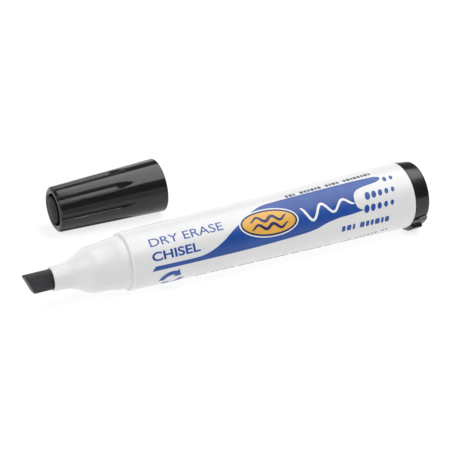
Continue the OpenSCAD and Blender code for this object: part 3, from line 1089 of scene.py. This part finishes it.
@dataclass
class Cap:
    """Black cap: fluted shell with a domed end, four webs, and the inner cup whose end shows in the vent."""

    axis: Axis
    length: float = 31.5
    mouth_r: float = 7.8
    end_r: float = 6.55
    end_wall: float = 1.15
    dome_len: float = 0.85
    vent_r: float = 4.7
    lip: float = 0.5
    seat_r: float = 7.05
    seat_len: float = 2.8
    flutes: int = 8
    flute_depth: float = 0.6
    flute_r: float = 1.4
    flute_stop: float = 9.5
    flute_rise: float = 4.5
    seal_from: float = 16.3
    seal_r: float = 3.47
    seal_len: float = 4.2
    cup_r: float = 3.9
    cup_bore_r: float = 3.3
    cup_floor: float = 1.0
    dome: float = 0.4
    webs: int = 4
    web_thick: float = 0.9
    web_from: float = 2.5
    web_past_seal: float = 4.0
    web_inset: float = 0.95
    columns: int = 464

    def cone(self, depth: np.ndarray) -> np.ndarray:
        """Outside radius without flutes, at a depth from the mouth: a cone, closed by a quarter of an ellipse."""
        across = np.sqrt(np.clip(1.0 - (np.clip(depth - self.length, 0, self.dome_len) / self.dome_len) ** 2, 0, 1))
        straight = self.mouth_r + (self.end_r - self.mouth_r) * np.minimum(depth, self.length) / self.length
        return straight - (straight - self.vent_r) * (1.0 - across) * (depth > self.length)

    def fluted(self, u: np.ndarray, r: np.ndarray, angle: np.ndarray) -> np.ndarray:
        """Radius with the flutes cut by round cutters that follow the taper and thin to nothing towards the mouth.

        At depth d the cutter's middle is c(d) from the axis and its radius is R(d). Off a flute's middle by an angle b
        its near side is at c cos b - sqrt(R^2 - c^2 sin^2 b). A bite or a thinning x is softened where it starts, as
        (x + sqrt(x^2 + k^2)) / 2.

        Args:
            u, r: station and plain radius.
            angle: angle round the axis.

        Returns:
            The real radius.
        """
        depth = -u
        taper = self.mouth_r + (self.end_r - self.mouth_r) * depth / self.length
        past = self.flute_stop + self.flute_rise - depth
        thinning = self.flute_depth / self.flute_rise * 0.5 * (past + np.sqrt(past ** 2 + 1.0))
        round_r = np.maximum(self.flute_r - thinning, 0.05)
        middle = taper - self.flute_depth + self.flute_r
        pitch = 2 * math.pi / self.flutes
        off = (angle - 0.5 * math.pi + 0.5 * pitch) % pitch - 0.5 * pitch
        inside = round_r ** 2 - (middle * np.sin(off)) ** 2
        near = middle * np.cos(off) - np.sqrt(np.maximum(inside, 0.0))
        soft = 0.03
        bite = np.where(inside > 0, self.cone(depth) - near, -1.0)
        bite = 0.5 * (bite + np.sqrt(bite ** 2 + soft ** 2)) * (inside > 0)
        outer = (r > self.cone(depth) - 0.8) & (depth > self.flute_stop - 4.0) & (r > self.vent_r + 0.01)
        return np.where(outer, np.maximum(r - bite, np.minimum(r, self.vent_r + 0.02)), r)

    def shell(self) -> bpy.types.Object:
        """Makes the outer shell with its webs.

        Returns:
            The piece.
        """
        bore = self.end_r - self.end_wall
        last = self.length
        mouth = rounded([(-6.0, 6.75, 0),
                         (-self.seat_len, self.seat_r - 0.1, 0.05), (-self.seat_len, self.seat_r, 0.05),
                         (0.0, self.seat_r, 0.2), (0.0, self.mouth_r, 0.22), (-1.2, float(self.cone(1.2)), 0)])
        depth = np.linspace(1.3, last, 130)
        side = np.stack([-depth, self.cone(depth)], -1)
        bend = np.linspace(0.0, 0.5 * math.pi, 24)
        rim_r = self.vent_r + (self.end_r - self.vent_r) * np.cos(bend)
        rim = np.stack([-last - self.dome_len * np.sin(bend), rim_r], -1)[rim_r > self.vent_r + self.lip]
        inner = rounded([(-last - 0.4, self.vent_r, 0), (-last + 0.3, self.vent_r, 0.1), (-last + 0.3, bore, 0.1),
                         (-last + 4.0, bore + 0.2, 0)])
        profile = np.concatenate([mouth, side, rim, inner, mouth[:1]])
        made = Shell()
        made.revolve(self.axis, profile, self.columns, self.fluted)
        for i in range(self.webs):
            made.block(self.axis, (-last + self.web_from, -self.seal_from - self.web_past_seal),
                       (self.cup_r + OVERLAP, self.end_r - self.web_inset), self.web_thick,
                       math.radians(360 / self.webs * i))
        piece = made.finish("cap_shell_skin", Finish.BLACK, 45.0)
        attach(piece, "cap")
        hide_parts("cap_shell")
        report(piece, "fluted shell")
        return piece

    def cup(self) -> bpy.types.Object:
        """Makes the inner cup: a tube with a seal land, closed by a domed disc.

        Returns:
            The piece.
        """
        last, cup_r, deep = self.length + self.dome_len, self.cup_r, self.length - self.cup_floor
        t = np.linspace(0.0, 1.0, 18)[1:]
        dome = np.stack([-last - self.dome * (1 - (1 - t) ** 2), cup_r * (1 - t)], -1)
        inside = rounded([(-deep, 0.0, 0), (-deep, self.cup_bore_r, 0.4),
                          (-self.seal_from - self.seal_len - 0.5, self.cup_bore_r, 0.1),
                          (-self.seal_from - self.seal_len, self.seal_r, 0.1), (-self.seal_from, self.seal_r, 0.15),
                          (-self.seal_from, self.seal_r + 0.8, 0.1), (-last, cup_r, 0.18),
                          tuple(dome[1]) + (0.0,)])
        made = Shell()
        made.revolve(self.axis, np.concatenate([inside[:-1], dome[1:]]), 160)
        piece = made.finish("cap_inner_cup_skin", Finish.DULL_BLACK)
        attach(piece, "cap")
        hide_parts("cap_inner_cup")
        report(piece, "inner cup")
        return piece


# ---- Studio ------------------------------------------------------------------


@dataclass
class Studio:
    """Pale floor, soft lights and the camera."""

    marker: Axis
    azimuth: float = -27.04
    elevation: float = 25.15
    distance: float = 430.0
    lens: float = 128.05
    target: tuple[float, float, float] = (30.3, 0.13, 3.81)

    def floor(self) -> None:
        """Lays the floor at the object's lowest point."""
        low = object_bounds()[0]
        side = np.linspace(-2.5, 2.5, 3)
        x, y = np.meshgrid(side, side, indexing="ij")
        points = np.stack([x, y, 0 * x + low[2] - 2e-5], -1).reshape(-1, 3)
        index = np.arange(9).reshape(3, 3)
        quads = np.stack([index[:-1, :-1], index[1:, :-1], index[1:, 1:], index[:-1, 1:]], -1).reshape(-1, 4)
        mesh = bpy.data.meshes.new("floor")
        mesh.from_pydata(points.tolist(), [], quads.tolist())
        mesh.materials.append(Finish.FLOOR.material())
        placed("floor", mesh)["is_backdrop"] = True

    def light(self, name: str, place: tuple[float, float, float], at: tuple[float, float, float],
              size: tuple[float, float], power: float) -> None:
        """Hangs a rectangular soft light.

        Args:
            name: its name.
            place: where it hangs, in metres.
            at: the point that it faces.
            size: its width and height.
            power: its watts.
        """
        data = bpy.data.lights.new(name, "AREA")
        data.shape, data.size, data.size_y, data.energy = "RECTANGLE", size[0], size[1], power
        lamp = placed(name, data)
        lamp.location = place
        self._aim(lamp, np.array(place), np.array(at))

    @staticmethod
    def _aim(thing: bpy.types.Object, place: np.ndarray, at: np.ndarray) -> None:
        """Turns a light or camera at place to look at a point, with its top up."""
        thing.rotation_euler = Vector((at - place).tolist()).to_track_quat("-Z", "Y").to_euler()

    def lights(self) -> None:
        """Sets an overhead softbox, weaker ones from the left and behind, and a dim surround."""
        self.light("softbox_top", (0.42, -0.095, 0.75), (0.42, -0.095, 0.0), (0.6, 1.14), 7.9)
        self.light("softbox_left", (-0.75, -0.1, 0.6), (0.0, 0.0, 0.0), (0.8, 0.6), 4.8)
        self.light("softbox_back", (0.0, 1.1, 0.3), (0.0, 0.0, 0.1), (1.6, 0.4), 2.5)
        world = bpy.data.worlds.new("surround")
        world.use_nodes = True
        back = world.node_tree.nodes["Background"]
        back.inputs["Color"].default_value = (0.97, 0.985, 1.0, 1.0)
        back.inputs["Strength"].default_value = 0.17
        bpy.context.scene.world = world

    def camera(self) -> None:
        """Places the camera: target + distance (sin a cos e, -cos a cos e, sin e)."""
        a, e = math.radians(self.azimuth), math.radians(self.elevation)
        way = np.array([math.sin(a) * math.cos(e), -math.cos(a) * math.cos(e), math.sin(e)])
        at = self.marker.start + np.array(self.target) * MM
        data = bpy.data.cameras.new("camera")
        data.lens, data.sensor_width = self.lens, 36.0
        data.clip_start, data.clip_end = 0.01, 20.0
        eye = placed("camera", data)
        place = at + way * self.distance * MM
        eye.location = place.tolist()
        self._aim(eye, place, at)
        bpy.context.scene.camera = eye
        bpy.context.scene.view_settings.view_transform = "Standard"

    def build(self) -> None:
        """Sets up the floor, the lights and the camera."""
        self.floor()
        self.lights()
        self.camera()


def axes() -> tuple[Axis, Axis]:
    """Reads the marker's and the cap's axes from the mounts.

    Returns:
        The marker's axis from the cap's stop to the tail, and the cap's axis out of its mouth.
    """
    mounts = {m["name"]: m for m in frame["record"]["mounts"]}
    spigot, mouth = mounts["nose_spigot"], mounts["cap_mouth"]
    tail = -np.array(spigot["axis"])
    out = np.array(mouth["axis"])
    stop = np.array(spigot["pos_m"]) + tail * spigot["dims"]["length_mm"] * 0.5 * MM
    lip = np.array(mouth["pos_m"]) + out * (mouth["dims"]["length_mm"] * 0.5 + 0.2) * MM
    return Axis(stop, tail / np.linalg.norm(tail)), Axis(lip, out / np.linalg.norm(out))


def dress(node: str, finish: Finish) -> None:
    """Gives a CAD node its finish."""
    made = frame["nodes"][node]
    made.data.materials.clear()
    made.data.materials.append(finish.material())
    report(made, "kept solid")


def main() -> None:
    """Builds everything in order."""
    logging.basicConfig(level=logging.INFO, format="%(name)s: %(message)s")
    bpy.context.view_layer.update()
    marker, cap = axes()
    barrel = Barrel(marker)
    barrel.build()
    Nib(marker).build()
    dress("reservoir_core", Finish.FIBRE)
    dress("reservoir_sleeve", Finish.FILM)
    RearPlug(marker, barrel).build()
    Print(marker, barrel).build()
    pieces = Cap(cap)
    pieces.shell()
    pieces.cup()
    Studio(marker).build()


if __name__ == "__main__":
    main()
